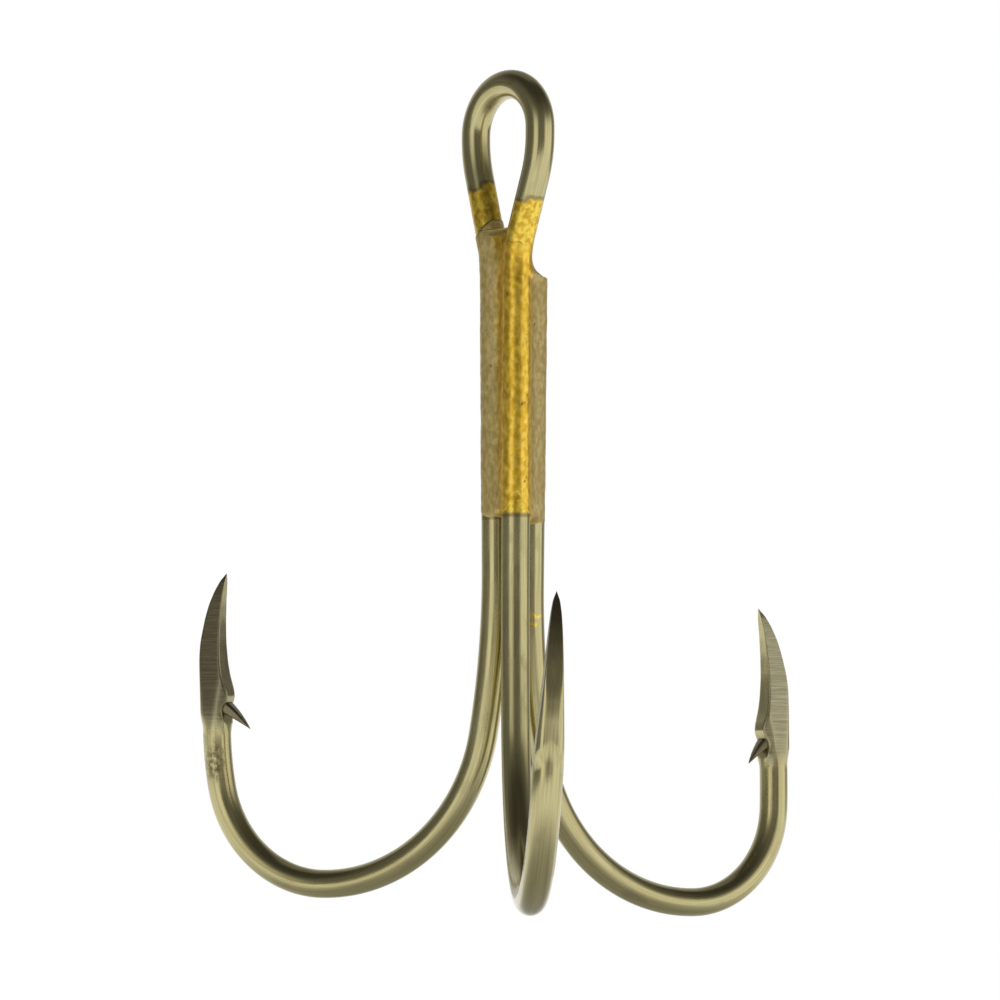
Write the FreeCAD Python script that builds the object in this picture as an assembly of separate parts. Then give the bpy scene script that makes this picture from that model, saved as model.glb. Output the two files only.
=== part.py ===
"""Treble fishing hook in millimetres.

A double hook bent from one wire (its middle is the eye), a single hook laid against the back of
the two shanks, and the braze that fills the grooves between the three shanks.

Frame: origin at the centre of the eye, +Z up along the shanks, front hook pointing to -Y.
"""
import math
import os

import FreeCAD
import Part

Vector = FreeCAD.Vector
UP = Vector(0, 0, 1)

# ---- wire and shanks ----
WIRE_RADIUS = 1.0
SHORTEST_STRAIGHT = 0.001
SHANK_FOOT_Z = -11.15          # height at which each shank's place in plan is given
SINGLE_SHANK_TOP_Z = -9.4      # sawn end of the single hook

# ---- bend shared by the three hooks: headings in degrees from straight down ----
SHANK_CURVE_RADIUS = 65.0
SHANK_CURVE_HEADING = 10.3
BEND_RADIUS = 13.0

# azimuth: degrees from -Y towards +X; tilt: shank bottom outwards; lean: limb sideways
HOOKS = {
    "left": {
        "azimuth": -120.0, "foot": (-0.775, 1.023), "bend_z": -29.45, "tilt": -0.64,
        "lean": 2.4, "throat_radius": 8.1, "throat_heading": 170.5,
        "limb_height": 10.5, "barb_reach": 2.75,
    },
    "front": {
        "azimuth": 0.0, "foot": (0.615, -0.798), "bend_z": -29.3, "tilt": 0.2,
        "lean": 3.1, "throat_radius": 8.15, "throat_heading": 172.7,
        "limb_height": 8.4, "barb_reach": 2.5,
    },
    "right": {
        "azimuth": 115.9, "foot": (1.86, 0.872), "bend_z": -30.73, "tilt": -0.4,
        "lean": 2.4, "throat_radius": 6.9, "throat_heading": 177.7,
        "limb_height": 9.35, "barb_reach": 2.15,
    },
}

# ---- eye: a loop in the upright plane through the left and front shanks ----
CROWN_RADIUS = 3.33
CROWN_CENTRE_Z = 0.7
# corner heights of the centre line before it is rounded, and the radii that round it
EYE_LEGS = {
    "left": {"side": -1, "shoulder_z": -0.805, "shoulder_radius": 10.0,
             "knee_z": -7.95, "knee_radius": 9.5},
    "front": {"side": 1, "shoulder_z": -1.3, "shoulder_radius": 8.5,
              "knee_z": -7.69, "knee_radius": 7.2},
}

# ---- point: (depth towards the shank, height along the limb from the spear's base) ----
SPEAR_LENGTH = 11.6
SPEAR_OVERLAP = 1.3            # limb wire that runs up inside the spear
SPEAR_TIP_DEPTH = 1.1
SPEAR_BASE_HALF = 0.9
HEEL = (0.97, 0.9)
BARB_CROTCH = (0.45, 1.85)
BARB_ROOT_TOP = (1.35, 2.6)
SHOULDER_TOP = (1.27, 3.5)
HOLLOW_START = (0.95, 3.8)
HOLLOW_MIDDLE = (0.68, 6.6)
BACK_CURVE_MIDDLE = (-0.3, 9.4)
BACK_CURVE_END = (-1.12, 5.1)
BACK_LOWER = (-1.12, 2.1)

# ---- point seen edge on: (half width, height) ----
EDGE_WIDEST = (0.97, 1.25)
EDGE_TAPER_END = (0.44, 9.0)
EDGE_NEAR_TIP = (0.28, 10.6)
EDGE_TIP_HALF = 0.03

# ---- point's cross-section: round back, two facets towards the inner edge ----
SECTION_HALF_WIDTH = 1.05
SECTION_BACK_DEPTH = 1.2
FACET_START = (0.3, 1.0)
FACET_END = (1.5, 0.5)
SHOULDER_CONE = (0.86, 3.1)    # radii that round off the base of the spear
PRISM_SPARE = 0.5              # extra length of the prisms that are trimmed by another
PRISM_REACH = 2.0              # half size of a prism in the direction it isn't shaped in

# ---- barb ----
BARB_UNDER_ROOT = (0.28, 2.15)
BARB_OVER_ROOT = (1.15, 2.85)
BARB_TIP_HEIGHT = 0.45
BARB_TIP_BLUNTNESS = (0.03, 0.06)
BARB_HALF_WIDTH = 0.5
BARB_TIP_HALF_WIDTH = 0.12
BARB_SPARE = 0.1

# ---- braze ----
BRAZE_TOP_Z = -8.6
BRAZE_BOTTOM_Z = -26.4
BRAZE_FILL = 0.55              # how far each groove is filled outwards from the line of centres
WEB_TOP_Z = -6.1
WEB_HALF_WIDTH = 1.3
WEB_HALF_THICKNESS = 0.5
CAP_HEIGHT = 1.2               # fillet above the sawn end
CAP_HALF_WIDTH = 0.7
CAP_BACK = 0.8                 # how far the fillet starts behind the single shank's axis
CAP_LENGTH = 2.4
CAP_SHOULDER = (1.2, 0.36)     # distance along the fillet and its height there


def hook_axes(hook):
    """Outward, sideways and upward directions of a hook's own plane."""
    azimuth = math.radians(hook["azimuth"])
    tilt = math.radians(hook["tilt"])
    level_out = Vector(math.sin(azimuth), -math.cos(azimuth), 0)
    side = Vector(math.cos(azimuth), math.sin(azimuth), 0)
    out = level_out * math.cos(tilt) + UP * math.sin(tilt)
    up = UP * math.cos(tilt) - level_out * math.sin(tilt)
    return out, side, up


def limb_axes(hook):
    """The same directions for the limb, which leans sideways about the bottom of the bend."""
    out, side, up = hook_axes(hook)
    lean = math.radians(hook["lean"])
    limb_side = side * math.cos(lean) - up * math.sin(lean)
    limb_up = up * math.cos(lean) + side * math.sin(lean)
    return out, limb_side, limb_up


def shank_point(hook, z):
    """Point of the shank's centre line at height z."""
    up = hook_axes(hook)[2]
    foot = Vector(hook["foot"][0], hook["foot"][1], SHANK_FOOT_Z)
    return foot + up * ((z - SHANK_FOOT_Z) / up.z)


def radial(heading, out, up):
    """Direction from a point of a bend towards the bend's centre."""
    angle = math.radians(heading)
    return out * math.cos(angle) + up * math.sin(angle)


def wire_straight(start, end):
    """Round wire along a straight line."""
    run = end - start
    return Part.makeCylinder(WIRE_RADIUS, run.Length, start, run)


def wire_bend(start, centre, axis, degrees):
    """Round wire turned about an axis through the centre of a bend."""
    section = Part.Face(Part.Wire(Part.makeCircle(WIRE_RADIUS, start, axis.cross(start - centre))))
    return section.revolve(centre, axis, degrees)


def hook_wire(hook, top):
    """Wire pieces from the top of a shank into the spear, and the spear's base."""
    out, side, up = hook_axes(hook)
    _, limb_side, limb_up = limb_axes(hook)
    rise = math.sin(math.radians(hook["throat_heading"]))
    throat_height = hook["throat_radius"] * (1 - rise)
    limb_radius = (hook["limb_height"] - throat_height) / rise
    arcs = [
        (SHANK_CURVE_RADIUS, 0, SHANK_CURVE_HEADING, side, up),
        (BEND_RADIUS, SHANK_CURVE_HEADING, 90, side, up),
        (hook["throat_radius"], 90, hook["throat_heading"], limb_side, limb_up),
        (limb_radius, hook["throat_heading"], 180, limb_side, limb_up),
    ]
    place = shank_point(hook, hook["bend_z"])
    pieces = [wire_straight(top, place)]
    for radius, heading, new_heading, arc_side, arc_up in arcs:
        centre = place + radial(heading, out, arc_up) * radius
        pieces.append(wire_bend(place, centre, out.cross(arc_up), new_heading - heading))
        place = centre - radial(new_heading, out, arc_up) * radius
    pieces.append(wire_straight(place, place + limb_up * SPEAR_OVERLAP))
    return pieces, place


def eye_corners():
    """Corners of the eye's centre line with the radius that rounds each of them."""
    tops = [shank_point(HOOKS[name], EYE_LEGS[name]["knee_z"]) for name in ("left", "front")]
    along = tops[1] - tops[0]
    along = Vector(along.x, along.y, 0).normalize()
    crown_top = CROWN_CENTRE_Z + CROWN_RADIUS
    corners = []
    for name, knee in zip(("left", "front"), tops):
        leg = EYE_LEGS[name]
        edge = along * (leg["side"] * CROWN_RADIUS)
        half = [
            (knee, leg["knee_radius"]),
            (edge + UP * leg["shoulder_z"], leg["shoulder_radius"]),
            (edge + UP * crown_top, CROWN_RADIUS),
        ]
        corners.extend(half if name == "left" else half[::-1])
    return corners


def rounded_wire(start, corners, end):
    """Wire through corners, each rounded by its own radius; also its first and last points."""
    points = [start] + [point for point, _ in corners] + [end]
    pieces = []
    place = None
    for index, (corner, radius) in enumerate(corners, start=1):
        before = (corner - points[index - 1]).normalize()
        after = (points[index + 1] - corner).normalize()
        turn = before.getAngle(after)
        cut = radius * math.tan(turn / 2)
        arc_start = corner - before * cut
        arc_end = corner + after * cut
        if place is None:
            first = arc_start
        elif (arc_start - place).Length > SHORTEST_STRAIGHT:
            pieces.append(wire_straight(place, arc_start))
        centre = arc_start + (after - before * before.dot(after)).normalize() * radius
        pieces.append(wire_bend(arc_start, centre, before.cross(after), math.degrees(turn)))
        place = arc_end
    return pieces, first, place


def outline_face(points):
    """Flat face from corner points; a (middle, end) pair in the list is an arc."""
    edges = []
    here = points[0]
    for entry in points[1:] + [points[0]]:
        if isinstance(entry, tuple):
            middle, there = entry
            edges.append(Part.Arc(here, middle, there).toShape())
        else:
            there = entry
            edges.append(Part.makeLine(here, there))
        here = there
    return Part.Face(Part.Wire(edges))


def side_view(depth, height):
    """Place in the spear's side view: x is depth towards the shank, z is height."""
    return Vector(depth, -PRISM_REACH, height)


def edge_view(half_width, height):
    """Place in the spear's edge view: y is sideways, z is height."""
    return Vector(-PRISM_REACH, half_width, height)


def section_place(depth, sideways):
    """Place in the spear's cross-section below its base."""
    return Vector(depth, sideways, -PRISM_SPARE)


def side_prism():
    """Spear as seen from the side: heel, barb notch, shoulder, hollow edge and curved back."""
    tip = side_view(SPEAR_TIP_DEPTH, SPEAR_LENGTH)
    outline = outline_face([
        side_view(-SPEAR_BASE_HALF, 0),
        side_view(SPEAR_BASE_HALF, 0),
        side_view(*HEEL),
        side_view(*BARB_CROTCH),
        side_view(*BARB_ROOT_TOP),
        side_view(*SHOULDER_TOP),
        side_view(*HOLLOW_START),
        (side_view(*HOLLOW_MIDDLE), tip),
        (side_view(*BACK_CURVE_MIDDLE), side_view(*BACK_CURVE_END)),
        side_view(*BACK_LOWER),
    ])
    return outline.extrude(Vector(0, 2 * PRISM_REACH, 0))


def edge_prism():
    """Spear as seen edge on: widest just above its base, narrowing to the tip."""
    over_tip = SPEAR_LENGTH + PRISM_SPARE
    outline = outline_face([
        edge_view(-SPEAR_BASE_HALF, -PRISM_SPARE),
        edge_view(SPEAR_BASE_HALF, -PRISM_SPARE),
        edge_view(SPEAR_BASE_HALF, 0),
        edge_view(*EDGE_WIDEST),
        edge_view(*EDGE_TAPER_END),
        (edge_view(*EDGE_NEAR_TIP), edge_view(EDGE_TIP_HALF, SPEAR_LENGTH)),
        edge_view(EDGE_TIP_HALF / 2, over_tip),
        edge_view(-EDGE_TIP_HALF / 2, over_tip),
        edge_view(-EDGE_TIP_HALF, SPEAR_LENGTH),
        (edge_view(-EDGE_NEAR_TIP[0], EDGE_NEAR_TIP[1]), edge_view(-EDGE_TAPER_END[0], EDGE_TAPER_END[1])),
        edge_view(-EDGE_WIDEST[0], EDGE_WIDEST[1]),
        edge_view(-SPEAR_BASE_HALF, 0),
    ])
    return outline.extrude(Vector(PRISM_REACH * 2.5, 0, 0))


def section_prism():
    """Cross-section of the spear carried over its whole length."""
    outline = outline_face([
        section_place(0, SECTION_HALF_WIDTH),
        (section_place(-SECTION_BACK_DEPTH, 0), section_place(0, -SECTION_HALF_WIDTH)),
        section_place(FACET_START[0], -FACET_START[1]),
        section_place(FACET_END[0], -FACET_END[1]),
        section_place(*FACET_END),
        section_place(*FACET_START),
    ])
    return outline.extrude(UP * (SPEAR_LENGTH + 2 * PRISM_SPARE))


def spear_body():
    """Ground blade: kept where the three prisms and the shoulder cone all agree."""
    cone_height = SPEAR_LENGTH + 2 * PRISM_SPARE
    shoulder = Part.makeCone(SHOULDER_CONE[0], SHOULDER_CONE[1], cone_height, UP * -PRISM_SPARE)
    return side_prism().common(edge_prism()).common(section_prism()).common(shoulder)


def barb(reach):
    """Wedge lifted from the inner side of the limb, sharp at its tip."""
    blunt_depth, blunt_height = BARB_TIP_BLUNTNESS
    side_outline = outline_face([
        side_view(*BARB_UNDER_ROOT),
        side_view(reach, BARB_TIP_HEIGHT),
        side_view(reach + blunt_depth, BARB_TIP_HEIGHT + blunt_height),
        side_view(*BARB_OVER_ROOT),
    ]).extrude(Vector(0, 2 * PRISM_REACH, 0))
    plan = outline_face([
        Vector(0, -BARB_HALF_WIDTH, 0),
        Vector(BARB_ROOT_TOP[0], -BARB_HALF_WIDTH, 0),
        Vector(reach + BARB_SPARE, -BARB_TIP_HALF_WIDTH, 0),
        Vector(reach + BARB_SPARE, BARB_TIP_HALF_WIDTH, 0),
        Vector(BARB_ROOT_TOP[0], BARB_HALF_WIDTH, 0),
        Vector(0, BARB_HALF_WIDTH, 0),
    ]).extrude(UP * (2 * PRISM_REACH))
    return side_outline.common(plan)


def spear(hook, base):
    """Blade and barb, turned into the hook's limb frame."""
    out, limb_side, limb_up = limb_axes(hook)
    inward = out * -1
    across = limb_up.cross(inward)
    matrix = FreeCAD.Matrix(
        inward.x, across.x, limb_up.x, base.x,
        inward.y, across.y, limb_up.y, base.y,
        inward.z, across.z, limb_up.z, base.z,
        0, 0, 0, 1)
    shape = spear_body().fuse(barb(hook["barb_reach"]))
    shape.Placement = FreeCAD.Placement(matrix)
    return shape


def double_hook():
    """Left and front hooks in one wire with the eye between them."""
    left, front = HOOKS["left"], HOOKS["front"]
    left_start = shank_point(left, left["bend_z"])
    front_start = shank_point(front, front["bend_z"])
    pieces, left_top, front_top = rounded_wire(left_start, eye_corners(), front_start)
    for hook, top in ((left, left_top), (front, front_top)):
        hook_pieces, base = hook_wire(hook, top)
        pieces.extend(hook_pieces)
        pieces.append(spear(hook, base))
    return pieces[0].fuse(pieces[1:])


def single_hook():
    """Right hook, with its sawn shank end against the eye's legs."""
    hook = HOOKS["right"]
    pieces, base = hook_wire(hook, shank_point(hook, SINGLE_SHANK_TOP_Z))
    pieces.append(spear(hook, base))
    return pieces[0].fuse(pieces[1:])


def braze_core():
    """Bar with three hollow sides that fills the grooves between the shanks."""
    names = ("left", "front", "right")
    centres = []
    for name in names:
        point = shank_point(HOOKS[name], SHANK_FOOT_Z)
        centres.append(Vector(point.x, point.y, BRAZE_BOTTOM_Z))
    middle = (centres[0] + centres[1] + centres[2]) * (1 / 3)
    points = [centres[0]]
    for index in range(3):
        here, there = centres[index], centres[(index + 1) % 3]
        halfway = (here + there) * 0.5
        outward = (halfway - middle).normalize()
        points.append(halfway + outward * BRAZE_FILL)
        if index < 2:
            points.append(there)
    return outline_face(points).extrude(UP * (BRAZE_TOP_Z - BRAZE_BOTTOM_Z))


def braze_web():
    """Braze in the crotch where the eye's legs meet."""
    left = shank_point(HOOKS["left"], SINGLE_SHANK_TOP_Z)
    front = shank_point(HOOKS["front"], SINGLE_SHANK_TOP_Z)
    along = Vector(front.x - left.x, front.y - left.y, 0).normalize()
    across = UP.cross(along)
    base = Vector(0, 0, SINGLE_SHANK_TOP_Z) - across * WEB_HALF_THICKNESS
    corners = [
        base - along * WEB_HALF_WIDTH,
        base + along * WEB_HALF_WIDTH,
        base + along * WEB_HALF_WIDTH + UP * (WEB_TOP_Z - SINGLE_SHANK_TOP_Z),
        base - along * WEB_HALF_WIDTH + UP * (WEB_TOP_Z - SINGLE_SHANK_TOP_Z),
    ]
    return outline_face(corners).extrude(across * (2 * WEB_HALF_THICKNESS))


def braze_cap():
    """Sloping fillet between the sawn end and the legs above it."""
    top = shank_point(HOOKS["right"], SINGLE_SHANK_TOP_Z)
    left = shank_point(HOOKS["left"], SHANK_FOOT_Z)
    front = shank_point(HOOKS["front"], SHANK_FOOT_Z)
    target = (left + front) * 0.5
    towards = Vector(target.x - top.x, target.y - top.y, 0).normalize()
    across = UP.cross(towards)
    start = top - across * CAP_HALF_WIDTH - towards * CAP_BACK
    inner = start + towards * CAP_LENGTH
    shoulder_along, shoulder_height = CAP_SHOULDER
    profile = outline_face([
        start,
        inner,
        inner + UP * CAP_HEIGHT,
        start + towards * shoulder_along + UP * shoulder_height,
    ])
    return profile.extrude(across * (2 * CAP_HALF_WIDTH))


def braze(wires):
    """All the braze, cut back to the faces of the wires it joins."""
    shape = braze_core().fuse([braze_web(), braze_cap()])
    for wire in wires:
        shape = shape.cut(wire)
    solids = sorted(shape.Solids, key=lambda solid: solid.Volume)
    return solids[-1]


def main():
    os.makedirs("parts", exist_ok=True)
    double = double_hook()
    single = single_hook()
    nodes = {"double_hook": double, "single_hook": single, "braze": braze([double, single])}
    for name, shape in nodes.items():
        shape = shape.removeSplitter()
        box = shape.BoundBox
        print(name, "valid", shape.isValid(), "solids", len(shape.Solids),
              "volume", round(shape.Volume, 2), "z", round(box.ZMin, 2), round(box.ZMax, 2))
        shape.exportStep("parts/" + name + ".step")


main()
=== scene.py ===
import math

import bpy
import numpy as np
from mathutils import Matrix, Vector


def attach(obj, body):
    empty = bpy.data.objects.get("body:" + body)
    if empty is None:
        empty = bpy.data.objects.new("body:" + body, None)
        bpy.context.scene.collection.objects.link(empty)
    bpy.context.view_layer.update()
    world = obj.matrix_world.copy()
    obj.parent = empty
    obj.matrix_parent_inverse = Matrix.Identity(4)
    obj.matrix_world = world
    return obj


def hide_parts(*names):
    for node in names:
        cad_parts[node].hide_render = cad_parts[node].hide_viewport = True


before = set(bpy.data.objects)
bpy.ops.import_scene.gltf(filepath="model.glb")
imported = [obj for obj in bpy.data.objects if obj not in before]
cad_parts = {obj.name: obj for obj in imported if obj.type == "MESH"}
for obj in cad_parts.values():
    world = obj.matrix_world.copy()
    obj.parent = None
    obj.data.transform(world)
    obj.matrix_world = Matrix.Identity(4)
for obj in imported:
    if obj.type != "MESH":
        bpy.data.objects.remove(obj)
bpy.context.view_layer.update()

# All shape numbers below are millimetres in the CAD frame; meshes are scaled to metres on creation.
MM = 0.001
DETAIL = 1.0

# ---- wire, shanks and bends: the CAD part's driving dimensions ----
WIRE_RADIUS = 1.0
SHANK_FOOT_Z = -11.15
SINGLE_SHANK_TOP_Z = -9.4
SHANK_CURVE_RADIUS = 65.0
SHANK_CURVE_HEADING = 10.3
BEND_RADIUS = 13.0
# The last two keys of each hook set how dark its ground point is painted, and from what height up: partly darker
# lacquer, partly painted shade and reflection.
HOOKS = {
    "left": {
        "azimuth": -120.0, "foot": (-0.775, 1.023), "bend_z": -29.45, "tilt": -0.64,
        "lean": 2.4, "throat_radius": 8.1, "throat_heading": 170.5,
        "limb_height": 10.5, "barb_reach": 2.75, "lacquer_and_shade_tone": 0.85, "lacquer_and_shade_from": 0.3,
    },
    "front": {
        "azimuth": 0.0, "foot": (0.615, -0.798), "bend_z": -29.3, "tilt": 0.2,
        "lean": 3.1, "throat_radius": 8.15, "throat_heading": 172.7,
        "limb_height": 8.4, "barb_reach": 2.5, "lacquer_and_shade_tone": 0.8, "lacquer_and_shade_from": 6.6,
    },
    "right": {
        "azimuth": 115.9, "foot": (1.86, 0.872), "bend_z": -30.73, "tilt": -0.4,
        "lean": 2.4, "throat_radius": 6.9, "throat_heading": 177.7,
        "limb_height": 9.35, "barb_reach": 2.15, "lacquer_and_shade_tone": 0.0, "lacquer_and_shade_from": 0.0,
    },
}
CROWN_RADIUS = 3.33
CROWN_CENTRE_Z = 0.7
# corner heights of the centre line before it is rounded, and the radii that round it
EYE_LEGS = {
    "left": {"side": -1, "shoulder_z": -0.805, "shoulder_radius": 10.0,
             "knee_z": -7.95, "knee_radius": 9.5},
    "front": {"side": 1, "shoulder_z": -1.3, "shoulder_radius": 8.5,
              "knee_z": -7.69, "knee_radius": 7.2},
}

# ---- ground point: heights above the spear's base, depths towards the shank ----
SPEAR_LENGTH = 11.6
SPEAR_SEGMENTS = 96
SPEAR_BACK = [(0, 1.0), (2.1, 1.06), (3.8, 1.12), (5.1, 1.1), (6.8, 0.9), (8.3, 0.56), (9.4, 0.22),
              (10.4, -0.25), (11.1, -0.68), (11.6, -1.09)]
SPEAR_INNER = [(0, 1.0), (1.2, 0.98), (1.75, 0.72), (2.0, 0.85), (2.5, 1.22), (3.0, 1.26), (3.5, 1.1),
               (4.1, 0.86), (5.2, 0.7), (6.6, 0.64), (8.2, 0.7), (9.6, 0.82), (11.6, 1.11)]
SPEAR_EDGE = [(0, 1.0), (1.2, 0.97), (2.4, 0.9), (5.0, 0.7), (9.0, 0.44), (10.2, 0.34), (11.0, 0.22),
              (11.6, 0.01)]
OUTLINE_SOFTNESS = 0.4         # half length over which outline corners are softened
ROUND_BACK_CENTRE = -0.14
ROUND_BACK_RADIUS = 1.06
FACET_DISTANCE = 1.038         # from the limb's axis to the facets beside the inner edge
BARB_ROOT = ((0.45, 2.9), (0.35, 1.75))     # depth and height of the root's upper and lower corners
BARB_TIP_HEIGHT = 0.45
BARB_HALF_WIDTHS = (0.62, 0.14)

# ---- braze sleeve ----
BRAZE_TOP_Z = -5.0
BRAZE_BOTTOM_Z = -27.2
CROTCH_Z = -6.1
ARCH_TOP_Z = -5.15
ARCH_LOWEST_Z = -6.6
FILM_TOP_LEFT = -2.9
FILM_TOP_FRONT = -4.2
BRAZE_FILM = 0.02
GROOVE_BLEND = 1.15

# ---- marks: (centre, half sizes) of brown stains, brass splashes and a rough scar ----
STAINS = [((2.9, -20.4, -37.1), (1.3, 1.3, 0.45)), ((2.6, -20.6, -41.0), (1.3, 1.3, 0.12))]
SPLASHES = [((1.6, 0.4, -32.9), (0.9, 1.4, 0.3)), ((1.9, 0.4, -33.5), (0.3, 1.4, 0.2))]
SCARS = [((-19.9, 11.6, -43.3), (0.75, 1.4, 1.9))]

# ---- camera ----
VIEW_TURN = 4.0                # degrees left of the front hook
VIEW_PITCH = -2.3              # degrees above level
VIEW_ROLL = 0.28
VIEW_DISTANCE = 258.6
VIEW_TARGET = (-0.476, -0.935, -24.95)
LENS = 134.9
FLOOR_Z = -78.0


# ------------------------------------------------------------------ centre lines

def unit(vector):
    return vector / np.linalg.norm(vector)


def hook_axes(hook):
    """Outward, sideways and upward directions of a hook's plane."""
    azimuth = math.radians(hook["azimuth"])
    tilt = math.radians(hook["tilt"])
    level_out = np.array([math.sin(azimuth), -math.cos(azimuth), 0.0])
    side = np.array([math.cos(azimuth), math.sin(azimuth), 0.0])
    up = np.array([0.0, 0.0, 1.0])
    return (level_out * math.cos(tilt) + up * math.sin(tilt), side,
            up * math.cos(tilt) - level_out * math.sin(tilt))


def limb_axes(hook):
    """The same for the limb, which leans sideways about the bottom of the bend."""
    out, side, up = hook_axes(hook)
    lean = math.radians(hook["lean"])
    return (out, side * math.cos(lean) - up * math.sin(lean),
            up * math.cos(lean) + side * math.sin(lean))


def shank_point(hook, z):
    up = hook_axes(hook)[2]
    foot = np.array([hook["foot"][0], hook["foot"][1], SHANK_FOOT_Z])
    return foot + up * ((z - SHANK_FOOT_Z) / up[2])


def radial(heading, out, up):
    angle = math.radians(heading)
    return out * math.cos(angle) + up * math.sin(angle)


def hook_line(hook, top_z):
    """Stations (point, inward, side) from the top of the shank to the spear's base."""
    out, side, up = hook_axes(hook)
    _, limb_side, limb_up = limb_axes(hook)
    step = 0.3 / DETAIL
    top = shank_point(hook, top_z)
    start = shank_point(hook, hook["bend_z"])
    count = max(2, int(np.linalg.norm(start - top) / (2 * step)))
    stations = [(top + (start - top) * i / count, out, side) for i in range(count)]
    rise = math.sin(math.radians(hook["throat_heading"]))
    throat_height = hook["throat_radius"] * (1 - rise)
    limb_radius = (hook["limb_height"] - throat_height) / rise
    arcs = [
        (SHANK_CURVE_RADIUS, 0.0, SHANK_CURVE_HEADING, up, side),
        (BEND_RADIUS, SHANK_CURVE_HEADING, 90.0, up, side),
        (hook["throat_radius"], 90.0, hook["throat_heading"], limb_up, limb_side),
        (limb_radius, hook["throat_heading"], 180.0, limb_up, limb_side),
    ]
    place = start
    for radius, heading, new_heading, arc_up, arc_side in arcs:
        centre = place + radial(heading, out, arc_up) * radius
        count = max(2, int(radius * math.radians(new_heading - heading) / step))
        for i in range(count):
            towards = radial(heading + (new_heading - heading) * i / count, out, arc_up)
            stations.append((centre - towards * radius, towards, arc_side))
        place = centre - radial(new_heading, out, arc_up) * radius
    return stations, place


def eye_direction():
    """Level direction from the left leg of the eye to the front leg."""
    left = shank_point(HOOKS["left"], EYE_LEGS["left"]["knee_z"])
    front = shank_point(HOOKS["front"], EYE_LEGS["front"]["knee_z"])
    return unit((front - left) * np.array([1, 1, 0]))


def eye_corners():
    """Corners of the eye's centre line, left to front, with the radius that rounds each."""
    along = eye_direction()
    corners = []
    for name in ("left", "front"):
        leg = EYE_LEGS[name]
        edge = along * (leg["side"] * CROWN_RADIUS)
        half = [
            (shank_point(HOOKS[name], leg["knee_z"]), leg["knee_radius"]),
            (edge + np.array([0, 0, leg["shoulder_z"]]), leg["shoulder_radius"]),
            (edge + np.array([0, 0, CROWN_CENTRE_Z + CROWN_RADIUS]), CROWN_RADIUS),
        ]
        corners.extend(half if name == "left" else half[::-1])
    return corners


def eye_points():
    """Closely spaced points along the eye's centre line, from the left shank to the front one."""
    corners = eye_corners()
    ends = [shank_point(HOOKS[name], HOOKS[name]["bend_z"]) for name in ("left", "front")]
    points = [ends[0]] + [point for point, _ in corners] + [ends[1]]
    made = []
    for index, (corner, radius) in enumerate(corners, start=1):
        before = unit(corner - points[index - 1])
        after = unit(points[index + 1] - corner)
        turn = math.acos(before.dot(after))
        start = corner - before * radius * math.tan(turn / 2)
        inward = unit(after - before * before.dot(after))
        steps = max(4, int(radius * turn * 4 * DETAIL))
        if made:
            last = made[-1]
            fill = max(1, int(np.linalg.norm(start - last) * 2 * DETAIL))
            made.extend(last + (start - last) * k / fill for k in range(1, fill))
        first = 0 if index != len(corners) // 2 + 1 else 1
        for k in range(first, steps + 1):
            angle = turn * k / steps
            made.append(start + radius * (before * math.sin(angle) + inward * (1 - math.cos(angle))))
    return np.array(made)


def eye_stations(points):
    """Stations round the eye whose frames turn from the left hook's into the front hook's."""
    left, front = HOOKS["left"], HOOKS["front"]
    tangents = np.gradient(points, axis=0)
    tangents /= np.linalg.norm(tangents, axis=1)[:, None]
    inward = [hook_axes(left)[0]]
    for tangent in tangents[1:]:
        inward.append(unit(inward[-1] - tangent * inward[-1].dot(tangent)))
    goal = hook_axes(front)[0]
    side_end = np.cross(inward[-1], tangents[-1])
    twist = math.atan2(goal.dot(side_end), goal.dot(inward[-1]))
    stations = []
    for i, point in enumerate(points):
        angle = twist * i / (len(points) - 1)
        side = np.cross(inward[i], tangents[i])
        turned = inward[i] * math.cos(angle) + side * math.sin(angle)
        stations.append((point, turned, np.cross(turned, tangents[i])))
    return stations[1:-1]


# ------------------------------------------------------------------ mesh helpers

def make_object(name, points, faces, attributes, material):
    """Smooth-shaded mesh object in metres with named point attributes."""
    mesh = bpy.data.meshes.new(name)
    mesh.from_pydata([tuple(p) for p in np.asarray(points) * MM], [], faces)
    for key, values in attributes.items():
        values = np.asarray(values, dtype=np.float32)
        kind = "FLOAT_VECTOR" if values.ndim == 2 else "FLOAT"
        layer = mesh.attributes.new(key, kind, "POINT")
        layer.data.foreach_set("vector" if values.ndim == 2 else "value", values.ravel())
    mesh.polygons.foreach_set("use_smooth", [True] * len(mesh.polygons))
    mesh.update()
    obj = bpy.data.objects.new(name, mesh)
    bpy.context.scene.collection.objects.link(obj)
    obj.data.materials.append(material)
    return obj


def ring_faces(rings, segments, first=0, flip=False):
    """Quads between neighbouring closed rings of points."""
    faces = []
    for ring in range(rings - 1):
        low = first + ring * segments
        for k in range(segments):
            nxt = (k + 1) % segments
            quad = (low + k, low + nxt, low + segments + nxt, low + segments + k)
            faces.append(quad[::-1] if flip else quad)
    return faces


def cap_faces(centre, first, segments, flip=False):
    """Fan that closes a ring on a centre point."""
    faces = []
    for k in range(segments):
        face = (centre, first + (k + 1) % segments, first + k)
        faces.append(face[::-1] if flip else face)
    return faces


def smooth_step(x):
    x = np.clip(x, 0, 1)
    return x * x * (3 - 2 * x)


def ripple(a, b):
    """Gentle repeatable unevenness, about -1 to 1."""
    return (np.sin(1.7 * a + 0.6 * b) + np.sin(0.9 * a - 2.3 * b + 1.3) + np.sin(3.1 * a + 1.9 * b + 4.0)) / 3


# ------------------------------------------------------------------ wires with ground points

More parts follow.
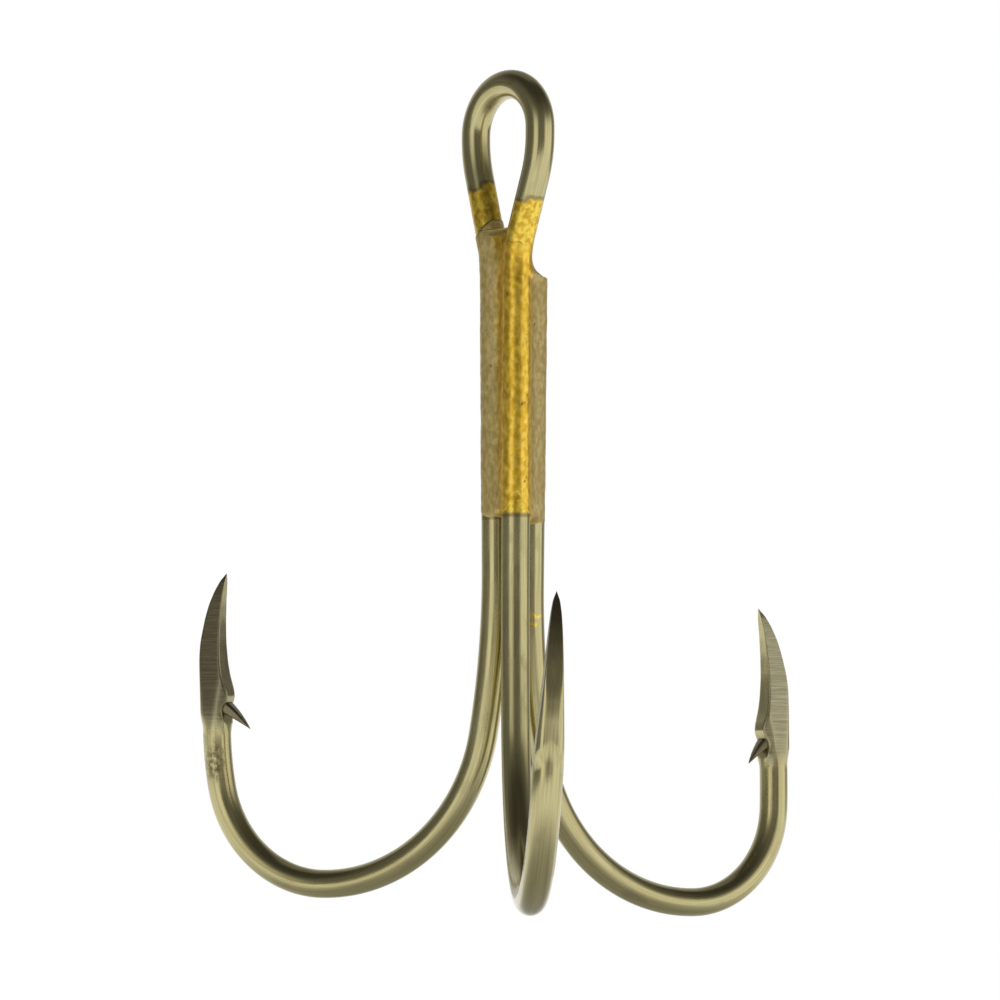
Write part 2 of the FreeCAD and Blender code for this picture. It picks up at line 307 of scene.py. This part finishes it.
def outline_at(outline, height):
    """Outline value at a height, with its corners softened."""
    heights, values = zip(*outline)
    softness = OUTLINE_SOFTNESS * min(1.0, (SPEAR_LENGTH - height) / 2.0)
    near = height + softness * np.linspace(-1, 1, 15)
    return np.interp(near, heights, values).mean()


def soft_least(values, sharpness):
    """Smallest of several positive distances, with slightly rounded joins."""
    stacked = np.array(values)
    return np.sum(stacked ** -sharpness, axis=0) ** (-1 / sharpness)


def spear_section(height, angles):
    """Depth and side of the ground section at a height, and how much of it is ground flat."""
    back = outline_at(SPEAR_BACK, height)
    inner = outline_at(SPEAR_INNER, height)
    edge = outline_at(SPEAR_EDGE, height)
    centre = (inner - back) / 2
    half_depth = (inner + back) / 2
    c, s = np.cos(angles), np.sin(angles)
    far = 50.0
    to_inner = np.where(c > 0.02, half_depth / np.maximum(c, 0.02), far)
    to_back = np.where(c < -0.02, half_depth / np.maximum(-c, 0.02), far)
    to_side = edge / np.maximum(np.abs(s), 0.02)
    offset = centre - ROUND_BACK_CENTRE
    to_round = -offset * c + np.sqrt(np.maximum(ROUND_BACK_RADIUS**2 - (offset * s)**2, 1e-6))
    to_round = np.where(c > 0, to_round + far * c, to_round)
    facet = 0.385 * c + 0.923 * np.abs(s)
    room = FACET_DISTANCE - 0.385 * centre
    to_facet = np.where(c > -0.3, room / np.maximum(facet, 0.05), far)
    limits = [to_inner, to_back, to_side, np.maximum(to_round, 0.01), np.maximum(to_facet, 0.01)]
    ground = soft_least(limits, 20)
    round_wire = -centre * c + np.sqrt(WIRE_RADIUS**2 - (centre * s)**2)
    share = smooth_step((height - 0.9 * (1 - np.abs(s)) + 0.1) / 1.5)
    share = np.where(c > 0.55, np.maximum(share, smooth_step(height / 1.2)), share)
    reach = round_wire + (ground - round_wire) * share
    flat = np.clip(1 - (np.minimum(to_side, to_facet) - ground) / (0.05 * ground + 0.004), 0, 1)
    return centre + reach * c, reach * s, flat * share


def wire_rings(stations, segments):
    """Round rings about the stations, with coordinates for the finish."""
    angles = np.arange(segments) * 2 * math.pi / segments
    c, s = np.cos(angles)[:, None], np.sin(angles)[:, None]
    rings, coords = [], []
    travelled = 0.0
    before = stations[0][0]
    for point, inward, side in stations:
        travelled += np.linalg.norm(point - before)
        before = point
        rings.append(point + WIRE_RADIUS * (c * inward + s * side))
        coords.append(np.column_stack([np.cos(angles), np.sin(angles), np.full(segments, travelled)]))
    return rings, coords, angles


def spear_rings(hook, base, angles, travelled):
    """Rings of the ground point from its base to its tip."""
    out, side, up = limb_axes(hook)
    rings, coords, flats = [], [], []
    heights = np.concatenate([
        np.linspace(0, 4.2, int(48 * DETAIL)),
        np.linspace(4.2, SPEAR_LENGTH, int(90 * DETAIL))[1:],
    ])
    for height in heights:
        depth, across, flat = spear_section(height, angles)
        rings.append(base + up * height - out * depth[:, None] + side * across[:, None])
        coords.append(np.column_stack([depth, across, np.full(len(angles), travelled + height)]))
        flats.append(flat)
    return rings, coords, flats


def blemish(points, spot):
    """1 at the middle of a mark on the wire, 0 beyond its half sizes."""
    centre, half_sizes = spot
    away = np.linalg.norm((points - np.array(centre)) / np.array(half_sizes), axis=1)
    return np.clip((1.15 - away) / 0.3, 0, 1)


def spear_lacquer_and_shade(points, spears):
    """Darkness of each ground point, part darker lacquer, part painted shade: 0 bright satin, 1 dark brown."""
    lacquer_and_shade_tone = np.zeros(len(points))
    for hook, base in spears:
        _, _, up = limb_axes(hook)
        height = (points - base).dot(up)
        near = np.linalg.norm(points - base - height[:, None] * up, axis=1) < 2.5
        lacquer_and_shade_tone = np.where(near, np.maximum(lacquer_and_shade_tone, hook["lacquer_and_shade_tone"] * smooth_step((height - hook["lacquer_and_shade_from"]) / 2.0)), lacquer_and_shade_tone)
    return lacquer_and_shade_tone


def joined_wire(name, parts, material, ends, spears):
    """One closed mesh from a run of rings; ends are the two closing points."""
    rings, coords, flats = parts
    segments = len(rings[0])
    points = np.concatenate(rings + [np.array(ends)])
    coords = np.concatenate(coords + [np.array([coords[0].mean(0), coords[-1].mean(0)])])
    flats = np.concatenate([np.concatenate(flats), [flats[0].mean(), flats[-1].mean()]])
    faces = ring_faces(len(rings), segments)
    total = len(rings) * segments
    faces += cap_faces(total, 0, segments)
    faces += cap_faces(total + 1, total - segments, segments, flip=True)
    film = film_cover(points)
    attributes = {
        "wire_coord": coords, "ground": flats, "film": film, "lacquer_and_shade_tone": spear_lacquer_and_shade(points, spears),
        "stain": sum(blemish(points, spot) for spot in STAINS),
        "splash": sum(blemish(points, spot) for spot in SPLASHES),
        "scar": sum(blemish(points, spot) for spot in SCARS),
    }
    return make_object(name, points, faces, attributes, material)


def film_cover(points):
    """How far a point of the wire lies inside the stretch wetted by braze."""
    x, z = points[:, 0], points[:, 2]
    edge = np.where(x < 0, FILM_TOP_LEFT + 0.35 * (x + 1.9), FILM_TOP_FRONT)
    edge = edge + 0.08 * ripple(points[:, 0] * 3, points[:, 1] * 3)
    return np.minimum(np.clip((edge - z) / 0.3, 0, 1), np.clip((z + 26.2) / 0.5, 0, 1))


def half_wire(hook, stations, base, segments):
    """Rings of a wire run and the point at its end."""
    rings, coords, angles = wire_rings(stations, segments)
    flats = [np.zeros(segments) for _ in rings]
    travelled = coords[-1][0, 2]
    tip_rings, tip_coords, tip_flats = spear_rings(hook, base, angles, travelled)
    return rings + tip_rings, coords + tip_coords, flats + tip_flats


def spear_tip(hook, base):
    out, _, up = limb_axes(hook)
    return base + up * (SPEAR_LENGTH + 0.01) - out * SPEAR_INNER[-1][1]


def double_hook(material):
    """Left hook, eye and front hook as one wire."""
    left, front = HOOKS["left"], HOOKS["front"]
    loop = eye_points()
    left_stations, left_base = hook_line(left, loop[0][2])
    front_stations, front_base = hook_line(front, loop[-1][2])
    left_parts = half_wire(left, left_stations, left_base, SPEAR_SEGMENTS)
    front_parts = half_wire(front, eye_stations(loop) + front_stations, front_base, SPEAR_SEGMENTS)
    rings = left_parts[0][::-1] + front_parts[0]
    coords = [c * np.array([1, 1, -1]) for c in left_parts[1][::-1]] + front_parts[1]
    flats = left_parts[2][::-1] + front_parts[2]
    ends = [spear_tip(left, left_base), spear_tip(front, front_base)]
    spears = [(left, left_base), (front, front_base)]
    obj = joined_wire("double_hook_wire", (rings, coords, flats), material, ends, spears)
    return obj, left_base, front_base


def single_hook(material):
    """Right hook with its flat sawn end."""
    hook = HOOKS["right"]
    stations, base = hook_line(hook, SINGLE_SHANK_TOP_Z)
    rings, coords, flats = half_wire(hook, stations, base, SPEAR_SEGMENTS)
    up = hook_axes(hook)[2]
    top = stations[0][0]
    first_ring = rings[0]
    for share, lift in ((0.97, 0.03), (0.9, 0.07), (0.5, 0.08)):
        rings.insert(0, top + up * lift + (first_ring - top) * share)
        coords.insert(0, coords[0])
        flats.insert(0, flats[0])
    ends = [top + up * 0.08, spear_tip(hook, base)]
    obj = joined_wire("single_hook_wire", (rings, coords, flats), material, ends, [(hook, base)])
    return obj, base


def barb(name, hook, base, material):
    """Wedge cut up from the limb's inner side, curling out to a sharp tip."""
    out, side, up = limb_axes(hook)
    upper, lower = np.array(BARB_ROOT[0]), np.array(BARB_ROOT[1])
    tip = np.array([hook["barb_reach"], BARB_TIP_HEIGHT])
    count = int(26 * DETAIL)
    segments = 32
    angles = np.arange(segments) * 2 * math.pi / segments
    rings, coords = [], []
    for i in range(count):
        t = i / (count - 1)
        top_edge = upper * (1 - t) + tip * t + np.array([0.10, 0.12]) * 4 * t * (1 - t)
        low_edge = lower * (1 - t) + tip * t + np.array([0.02, 0.06]) * 4 * t * (1 - t)
        middle = (top_edge + low_edge) / 2
        reach = (top_edge - low_edge) / 2
        width = BARB_HALF_WIDTHS[0] * (1 - t) + BARB_HALF_WIDTHS[1] * t
        width *= math.sqrt(max(1 - t**6, 0.02))
        squared = (np.abs(np.cos(angles)) ** 5 + np.abs(np.sin(angles)) ** 5) ** -0.2
        a, b = np.cos(angles) * squared, np.sin(angles) * squared
        depth = middle[0] + a * reach[0]
        height = middle[1] + a * reach[1]
        rings.append(base - out * depth[:, None] + up * height[:, None] + side * (b * width)[:, None])
        coords.append(np.column_stack([depth, b * width, height]))
    total = count * segments
    points = np.concatenate(rings + [[rings[0].mean(0), rings[-1].mean(0)]])
    coords = np.concatenate(coords + [[coords[0].mean(0), coords[-1].mean(0)]])
    faces = ring_faces(count, segments)
    faces += cap_faces(total, 0, segments)
    faces += cap_faces(total + 1, total - segments, segments, flip=True)
    # The barbs are painted fully dark: partly darker lacquer, partly painted shade under the barb.
    attributes = {"wire_coord": coords, "ground": np.full(len(points), 0.6), "lacquer_and_shade_tone": np.ones(len(points))}
    return make_object(name, points, faces, attributes, material)


# ------------------------------------------------------------------ braze sleeve

def smooth_union(a, b, blend):
    h = np.maximum(blend - np.abs(a - b), 0) / blend
    return np.minimum(a, b) - h * h * blend / 4


def leg_centre(name, z, loop):
    """Centre of an eye leg or shank at height z."""
    half = len(loop) // 2
    leg = loop[:half] if name == "left" else loop[half:][::-1]
    if z <= leg[0][2]:
        return shank_point(HOOKS[name], z)[:2]
    rising = leg[:np.argmax(leg[:, 2]) + 1]
    return np.array([np.interp(z, rising[:, 2], rising[:, axis]) for axis in (0, 1)])


def arch_edge(across):
    """Height of the thick braze's upper edge on the left leg, from a place across that leg."""
    return ARCH_TOP_Z - 0.65 * np.maximum(0.45 - np.clip(across, -1, 1), 0) ** 1.6


def braze_distance(x, y, z, turn, loop):
    """Signed distance to the braze surface at height z, millimetres."""
    left = leg_centre("left", z, loop)
    front = leg_centre("front", z, loop)
    right = shank_point(HOOKS["right"], z)[:2]
    uneven = 0.018 * ripple(z * 0.9, turn * 2.0) + 0.012 * ripple(z * 2.6, turn * 5.0)
    view_x = x * math.cos(math.radians(VIEW_TURN)) - left[0]
    left_top = arch_edge(view_x)
    left_bottom = -26.3 + 0.25 * ripple(turn * 3, 1.0)
    front_bottom = -26.2 + 1.5 * np.exp(-((x - front[0]) / 0.55) ** 2)
    right_bottom = -26.8 + 0.2 * ripple(turn * 4, 2.0)
    film = BRAZE_FILM + uneven
    thick_left = -0.06 + (film + 0.07) * smooth_step((left_top - z) / 0.22) * smooth_step((z - left_bottom) / 0.5)
    thick_left += 0.05 * smooth_step((left_top - z) / 0.3) * smooth_step((z + 8.5) / 2.0)
    thick_front = -0.06 + (film + 0.06) * smooth_step((-6.9 + 0.3 * ripple(x * 2, 3) - z) / 0.4) \
        * smooth_step((z - front_bottom) / 0.4)
    thick_right = -0.06 + (film + 0.06) * smooth_step((z - right_bottom) / 0.5)
    to_left = np.hypot(x - left[0], y - left[1]) - WIRE_RADIUS - thick_left
    if z > CROTCH_Z:
        return to_left
    blend = 0.03 + GROOVE_BLEND * smooth_step((z + 27.0) / 1.6)
    to_front = np.hypot(x - front[0], y - front[1]) - WIRE_RADIUS - thick_front
    to_right = np.hypot(x - right[0], y - right[1]) - WIRE_RADIUS - thick_right
    above = z - SINGLE_SHANK_TOP_Z
    if above > 0:
        to_right = np.hypot(np.maximum(to_right, 0), above)
    distance = smooth_union(to_left, to_front, blend)
    if above < 1.6:
        distance = smooth_union(distance, to_right, blend + 0.7 * smooth_step((above + 0.3) / 0.6))
    if z > -10.5:
        along = unit(front - left)
        across = np.array([-along[1], along[0]])
        middle = (left + front) / 2
        off = np.abs((x - middle[0]) * across[0] + (y - middle[1]) * across[1])
        span = np.abs((x - middle[0]) * along[0] + (y - middle[1]) * along[1])
        thickness = 0.62 * smooth_step((CROTCH_Z + 0.05 - z) / 0.5) * smooth_step((z + 10.5) / 2.0)
        slab = np.maximum(off - thickness, span - 1.3)
        distance = smooth_union(distance, slab, 0.35)
    return distance


def braze_sleeve(material):
    """Film and groove filling round the shanks, solved outwards ring by ring."""
    loop = eye_points()
    segments = int(220 * DETAIL)
    heights = np.concatenate([
        np.linspace(BRAZE_BOTTOM_Z, -23.5, int(46 * DETAIL)),
        np.linspace(-23.5, -10.5, int(70 * DETAIL))[1:],
        np.linspace(-10.5, CROTCH_Z, int(70 * DETAIL))[1:],
        np.linspace(CROTCH_Z + 0.02, BRAZE_TOP_Z, int(24 * DETAIL)),
    ])
    turns = np.arange(segments) * 2 * math.pi / segments
    reach = np.linspace(3.9, 0.04, 260)
    rings, front_lit_gold_shares, cracks = [], [], []
    for z in heights:
        left, front = leg_centre("left", z, loop), leg_centre("front", z, loop)
        right = shank_point(HOOKS["right"], z)[:2]
        weight = smooth_step((-9.0 - z) / 1.5)
        middle = (left + front) / 2 * (1 - weight / 3) + right * (weight / 3)
        if z > CROTCH_Z:
            middle = left
        x = middle[0] + reach[None, :] * np.cos(turns)[:, None]
        y = middle[1] + reach[None, :] * np.sin(turns)[:, None]
        distance = braze_distance(x, y, z, turns[:, None], loop)
        inside = distance < 0
        first = np.argmax(inside, axis=1)
        first = np.where(inside.any(axis=1), np.maximum(first, 1), len(reach) - 1)
        rows = np.arange(segments)
        outer, inner = distance[rows, first - 1], distance[rows, first]
        share = np.clip(outer / np.maximum(outer - inner, 1e-6), 0, 1)
        radius = reach[first - 1] + (reach[first] - reach[first - 1]) * share
        ring = np.column_stack([middle[0] + radius * np.cos(turns), middle[1] + radius * np.sin(turns),
                                np.full(segments, z)])
        rings.append(ring)
        # Painted light: braze facing the front between the left and front legs, below the crotch, is marked for
        # bright gold; the rest takes tan shade.
        rise = smooth_step((ring[:, 0] - left[0] + 0.55) / 1.3)
        fall = smooth_step((front[0] + 1.35 - ring[:, 0]) / 0.5)
        below = smooth_step((CROTCH_Z - 0.15 - z) / 0.5)
        front_lit_gold_shares.append(rise * fall * below * smooth_step(1.0 - ring[:, 1]))
        gap = z - arch_edge(ring[:, 0] - left[0])
        cracks.append(np.exp(-((gap + 0.10) / 0.12) ** 2) * (z > ARCH_LOWEST_Z) * (ring[:, 0] < left[0] + 0.9))
    points = np.concatenate(rings + [[rings[0].mean(0), rings[-1].mean(0)]])
    front_lit_gold_shares = np.concatenate(front_lit_gold_shares + [[0.0, 0.0]])
    cracks = np.concatenate(cracks + [[0.0, 0.0]])
    faces = ring_faces(len(rings), segments)
    total = len(rings) * segments
    faces += cap_faces(total, 0, segments)
    faces += cap_faces(total + 1, total - segments, segments, flip=True)
    return make_object("braze_sleeve", points, faces, {"gold": front_lit_gold_shares, "crack": cracks}, material)


# ------------------------------------------------------------------ materials

class Nodes:
    """Short calls for building one node tree."""

    def __init__(self, tree):
        self.tree = tree
        tree.nodes.clear()

    def add(self, kind, inputs=None, **settings):
        node = self.tree.nodes.new(kind)
        for key, value in settings.items():
            setattr(node, key, value)
        for key, value in (inputs or {}).items():
            self.feed(node, key, value)
        return node

    def feed(self, node, key, value):
        if isinstance(value, bpy.types.NodeSocket):
            self.tree.links.new(value, node.inputs[key])
        else:
            node.inputs[key].default_value = value

    def math(self, operation, a, b=0.0):
        return self.add("ShaderNodeMath", {0: a, 1: b}, operation=operation).outputs[0]

    def ramp(self, value, low, high, smooth=True):
        kind = "SMOOTHSTEP" if smooth else "LINEAR"
        return self.add("ShaderNodeMapRange", {0: value, 1: low, 2: high}, interpolation_type=kind).outputs[0]

    def band(self, value, edges):
        """1 between the inner two edges, 0 outside the outer two."""
        rise = self.ramp(value, edges[0], edges[1])
        fall = self.math("SUBTRACT", 1.0, self.ramp(value, edges[2], edges[3]))
        return self.math("MULTIPLY", rise, fall)

    def mix(self, share, a, b):
        node = self.add("ShaderNodeMix", data_type="RGBA")
        self.feed(node, 0, share)
        self.feed(node, 6, a)
        self.feed(node, 7, b)
        return node.outputs[2]

    def mix_value(self, share, a, b):
        return self.add("ShaderNodeMix", {0: share, 2: a, 3: b}, data_type="FLOAT").outputs[0]

    def noise(self, vector, stretch, scale, detail=3.0):
        scaled = self.add("ShaderNodeVectorMath", {0: vector, 1: stretch}, operation="MULTIPLY").outputs[0]
        return self.add("ShaderNodeTexNoise", {"Vector": scaled, "Scale": scale, "Detail": detail}).outputs[0]

    def attribute(self, name, vector=False):
        node = self.add("ShaderNodeAttribute", attribute_name=name)
        return node.outputs["Vector" if vector else "Fac"]


def new_material(name):
    material = bpy.data.materials.new(name)
    material.use_nodes = True
    return material, Nodes(material.node_tree)


def finish_material(nodes, colour, metallic, roughness, height, strength, distance, coat):
    bump = nodes.add("ShaderNodeBump", {"Height": height, "Strength": strength,
                                        "Distance": distance}).outputs[0]
    shader = nodes.add("ShaderNodeBsdfPrincipled", {
        "Base Color": colour, "Metallic": metallic, "Roughness": roughness, "Normal": bump,
        "Coat Weight": coat, "Coat Roughness": 0.12, "Coat IOR": 1.5})
    nodes.add("ShaderNodeOutputMaterial", {"Surface": shader.outputs[0]})


def wire_material():
    """Lacquered drawn wire, with satin ground flats and a braze-wetted stretch."""
    material, nodes = new_material("lacquered_wire")
    coord = nodes.attribute("wire_coord", vector=True)
    ground = nodes.attribute("ground")
    film = nodes.attribute("film")
    drawn = nodes.noise(coord, (2.2, 2.2, 0.05), 4.0)
    cloud = nodes.noise(coord, (0.8, 0.8, 0.35), 1.0)
    grain = nodes.noise(coord, (1.0, 1.0, 1.0), 14.0, 4.0)
    mottle = nodes.noise(coord, (1.0, 1.0, 0.8), 3.2, 4.0)
    scratches = nodes.noise(coord, (0.25, 0.25, 9.0), 2.2, 4.0)
    lacquer = nodes.mix(nodes.ramp(drawn, 0.3, 0.7), (0.44, 0.385, 0.18, 1), (0.56, 0.505, 0.255, 1))
    lacquer = nodes.mix(nodes.ramp(cloud, 0.55, 0.8), lacquer, (0.38, 0.32, 0.16, 1))
    satin = nodes.mix(nodes.ramp(scratches, 0.3, 0.7), (0.30, 0.27, 0.16, 1), (0.50, 0.46, 0.29, 1))
    gold = nodes.mix(nodes.ramp(mottle, 0.38, 0.62), (0.62, 0.38, 0.02, 1), (0.95, 0.70, 0.09, 1))
    # Painted shade: ground points and barbs darken towards dark brown, partly darker lacquer and partly painted
    # shade and reflection.
    brown = nodes.mix(nodes.ramp(scratches, 0.3, 0.7), (0.07, 0.055, 0.03, 1), (0.19, 0.155, 0.085, 1))
    satin = nodes.mix(nodes.attribute("lacquer_and_shade_tone"), satin, brown)
    colour = nodes.mix(ground, lacquer, satin)
    # The same painted shade also pulls the colour further towards near black.
    lacquer_and_shade_dark = nodes.math("MULTIPLY", nodes.attribute("lacquer_and_shade_tone"), 0.55)
    colour = nodes.mix(lacquer_and_shade_dark, colour, (0.12, 0.10, 0.06, 1))
    colour = nodes.mix(nodes.math("MULTIPLY", nodes.attribute("stain"), 0.75), colour, (0.20, 0.08, 0.02, 1))
    scar = nodes.math("MULTIPLY", nodes.attribute("scar"), nodes.ramp(mottle, 0.35, 0.6))
    colour = nodes.mix(scar, colour, (0.26, 0.22, 0.10, 1))
    splash = nodes.math("MULTIPLY", nodes.attribute("splash"), nodes.ramp(mottle, 0.40, 0.55))
    gold_share = nodes.math("MAXIMUM", nodes.ramp(film, 0.2, 0.8), splash)
    colour = nodes.mix(gold_share, colour, gold)
    rim = nodes.band(film, (0.02, 0.3, 0.4, 0.8))
    colour = nodes.mix(nodes.math("MULTIPLY", rim, 0.6), colour, (0.16, 0.09, 0.02, 1))
    roughness = nodes.mix_value(nodes.ramp(cloud, 0.3, 0.8), 0.20, 0.30)
    roughness = nodes.mix_value(ground, roughness, 0.38)
    roughness = nodes.mix_value(film, roughness, 0.36)
    roughness = nodes.mix_value(scar, roughness, 0.6)
    height = nodes.math("ADD", nodes.math("MULTIPLY", drawn, 0.5), nodes.math("MULTIPLY", grain, 0.12))
    height = nodes.mix_value(ground, height, nodes.math("MULTIPLY", scratches, 1.6))
    height = nodes.math("ADD", height, nodes.math("MULTIPLY", film, nodes.math("MULTIPLY", mottle, 1.5)))
    finish_material(nodes, colour, 1.0, roughness, height, 0.35, 0.00002, 0.5)
    return material


def braze_material():
    """Flowed brass with painted light: bright gold where it faces the front, tan shade on its sides; scattered pits.
    """
    material, nodes = new_material("braze_brass")
    place = nodes.add("ShaderNodeTexCoord").outputs["Object"]
    front_lit_side = nodes.attribute("gold")
    broad = nodes.noise(place, (1.0, 1.0, 0.35), 700.0)
    grain = nodes.noise(place, (1.0, 1.0, 0.6), 3600.0, 4.0)
    pits = nodes.noise(place, (1.0, 1.0, 0.7), 1500.0, 2.0)
    gold = nodes.mix(nodes.ramp(grain, 0.35, 0.68), (0.70, 0.42, 0.025, 1), (0.98, 0.68, 0.10, 1))
    tan = nodes.mix(nodes.ramp(grain, 0.35, 0.68), (0.46, 0.34, 0.10, 1), (0.62, 0.49, 0.20, 1))
    # Painted light: gold where the braze faces the front, tan shade elsewhere, with metal and roughness following.
    front_lit_amount = nodes.ramp(nodes.math("ADD", front_lit_side, nodes.math("MULTIPLY", broad, 0.5)), 0.4, 1.1)
    colour = nodes.mix(front_lit_amount, tan, gold)
    pit = nodes.ramp(pits, 0.70, 0.76)
    colour = nodes.mix(nodes.math("MULTIPLY", pit, 0.7), colour, (0.10, 0.06, 0.02, 1))
    colour = nodes.mix(nodes.attribute("crack"), colour, (0.03, 0.018, 0.005, 1))
    metallic = nodes.mix_value(front_lit_amount, 0.55, 1.0)
    roughness = nodes.mix_value(front_lit_amount, 0.52, 0.36)
    height = nodes.math("SUBTRACT", broad, nodes.math("MULTIPLY", pit, 0.8))
    height = nodes.math("ADD", height, nodes.math("MULTIPLY", grain, 0.2))
    finish_material(nodes, colour, metallic, roughness, height, 0.35, 0.00003, 0.25)
    return material


# ------------------------------------------------------------------ studio

def studio_world():
    """Narrow soft box on the left, wide one on the right, dark overhead; white to the camera."""
    world = bpy.data.worlds.new("studio")
    bpy.context.scene.world = world
    world.use_nodes = True
    nodes = Nodes(world.node_tree)
    direction = nodes.add("ShaderNodeTexCoord").outputs["Generated"]
    x, y, z = nodes.add("ShaderNodeSeparateXYZ", {0: direction}).outputs
    turn = nodes.math("ARCTAN2", x, nodes.math("MULTIPLY", y, -1.0))
    leftward = nodes.math("MULTIPLY", turn, -1.0)
    left_box = nodes.band(leftward, (0.28, 0.48, 0.85, 1.05))
    right_box = nodes.band(turn, (0.50, 0.75, 1.65, 1.95))
    boxes = nodes.math("ADD", left_box, right_box)
    boxes = nodes.math("MULTIPLY", boxes, nodes.band(z, (-0.95, -0.75, 0.1, 0.5)))
    behind = nodes.ramp(nodes.math("ABSOLUTE", turn), 2.0, 2.6)
    light = nodes.math("ADD", nodes.math("MULTIPLY", boxes, 0.95), nodes.math("MULTIPLY", behind, 0.45))
    light = nodes.math("ADD", light, 0.17)
    overhead = nodes.mix_value(nodes.ramp(z, 0.35, 0.85), 1.0, 0.35)
    light = nodes.math("MULTIPLY", light, overhead)
    seen = nodes.add("ShaderNodeBackground", {"Color": (1, 1, 1, 1), "Strength": 1.0})
    lit = nodes.add("ShaderNodeBackground", {"Color": (1.0, 0.985, 0.95, 1), "Strength": light})
    path = nodes.add("ShaderNodeLightPath").outputs["Is Camera Ray"]
    mixed = nodes.add("ShaderNodeMixShader", {0: path, 1: lit.outputs[0], 2: seen.outputs[0]})
    nodes.add("ShaderNodeOutputWorld", {"Surface": mixed.outputs[0]})


def studio_floor():
    """Plain pale sheet well below the hanging hook, glowing, with a painted shadow right under it."""
    bpy.ops.mesh.primitive_plane_add(size=1.2, location=(0, 0, FLOOR_Z * MM))
    floor = bpy.context.object
    floor.name = "studio_floor"
    material, nodes = new_material("floor_glow_with_painted_shadow")
    place = nodes.add("ShaderNodeTexCoord").outputs["Object"]
    away = nodes.add("ShaderNodeVectorMath", {0: place}, operation="LENGTH").outputs["Value"]
    # Painted shadow: the floor's glow dims to about a quarter within about 0.02 to 0.10 m of its middle.
    glow_with_painted_shadow = nodes.mix_value(nodes.ramp(away, 0.02, 0.10), 0.22, 0.9)
    paint = nodes.add("ShaderNodeBsdfDiffuse", {"Color": (0.6, 0.6, 0.6, 1)})
    glow = nodes.add("ShaderNodeEmission", {"Color": (1, 1, 1, 1), "Strength": glow_with_painted_shadow})
    both = nodes.add("ShaderNodeAddShader", {0: paint.outputs[0], 1: glow.outputs[0]})
    nodes.add("ShaderNodeOutputMaterial", {"Surface": both.outputs[0]})
    floor.data.materials.append(material)


def studio_camera():
    """Level studio camera a little left of the front hook."""
    turn, pitch, roll = (math.radians(v) for v in (VIEW_TURN, VIEW_PITCH, VIEW_ROLL))
    back = Vector((-math.sin(turn) * math.cos(pitch), -math.cos(turn) * math.cos(pitch), math.sin(pitch)))
    right = Vector((math.cos(turn), -math.sin(turn), 0))
    up = back.cross(right)
    rolled_right = right * math.cos(roll) + up * math.sin(roll)
    rolled_up = up * math.cos(roll) - right * math.sin(roll)
    position = (Vector(VIEW_TARGET) + back * VIEW_DISTANCE) * MM
    data = bpy.data.cameras.new("studio_camera")
    data.lens = LENS
    data.sensor_width = 36.0
    data.clip_start = 0.01
    camera = bpy.data.objects.new("studio_camera", data)
    bpy.context.scene.collection.objects.link(camera)
    camera.matrix_world = Matrix((
        (rolled_right.x, rolled_up.x, back.x, position.x),
        (rolled_right.y, rolled_up.y, back.y, position.y),
        (rolled_right.z, rolled_up.z, back.z, position.z),
        (0, 0, 0, 1)))
    bpy.context.scene.camera = camera


def main():
    scene = bpy.context.scene
    scene.view_settings.view_transform = "Standard"
    wire = wire_material()
    brass = braze_material()
    double, left_base, front_base = double_hook(wire)
    single, right_base = single_hook(wire)
    barbs = [
        barb("left_barb", HOOKS["left"], left_base, wire),
        barb("front_barb", HOOKS["front"], front_base, wire),
        barb("right_barb", HOOKS["right"], right_base, wire),
    ]
    sleeve = braze_sleeve(brass)
    for piece in [double, single, sleeve] + barbs:
        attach(piece, "root")
    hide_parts("double_hook")
    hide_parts("single_hook")
    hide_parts("braze")
    studio_world()
    studio_floor()
    studio_camera()


main()
